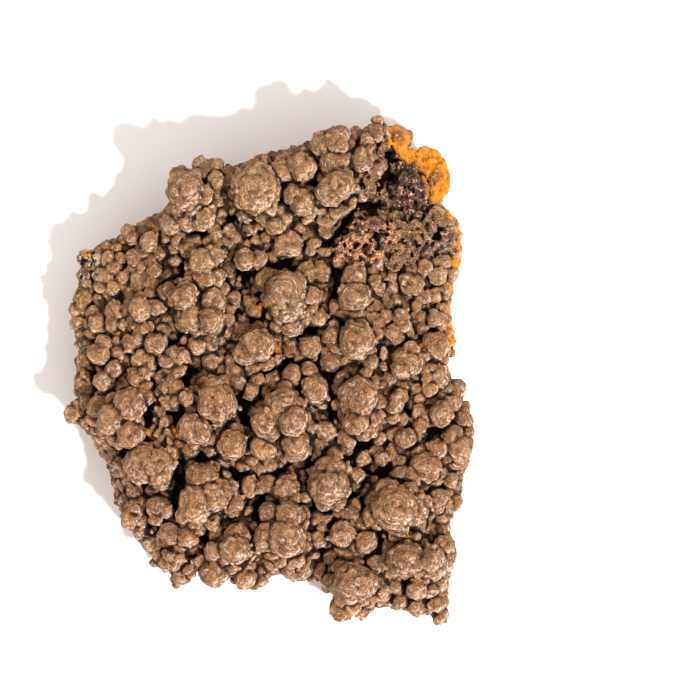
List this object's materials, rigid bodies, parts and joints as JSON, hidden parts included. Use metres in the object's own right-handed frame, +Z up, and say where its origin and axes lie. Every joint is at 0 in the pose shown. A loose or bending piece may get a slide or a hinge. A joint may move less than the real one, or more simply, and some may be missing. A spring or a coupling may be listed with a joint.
{
  "type": "mottramite mineral specimen",
  "caption": "Hand specimen of botryoidal mottramite: a crust of round brown heads grown on a broken plate of ochre matrix, lying flat to be shown.",
  "frame": {"origin": "centre of the specimen's bounding box, at the height of the surface it lies on", "axes": "+Z up through the crust, +Y along the longer side towards the corner with bare ochre matrix"},
  "size_m": [0.0632, 0.0778, 0.0226],
  "materials": {
    "mottramite_crust": "dull, finely sparkling brown crust on rough ochre to dark brown matrix"
  },
  "bodies": {
    "root": {"mottramite": "mottramite_crust"}
  },
  "joints": []
}
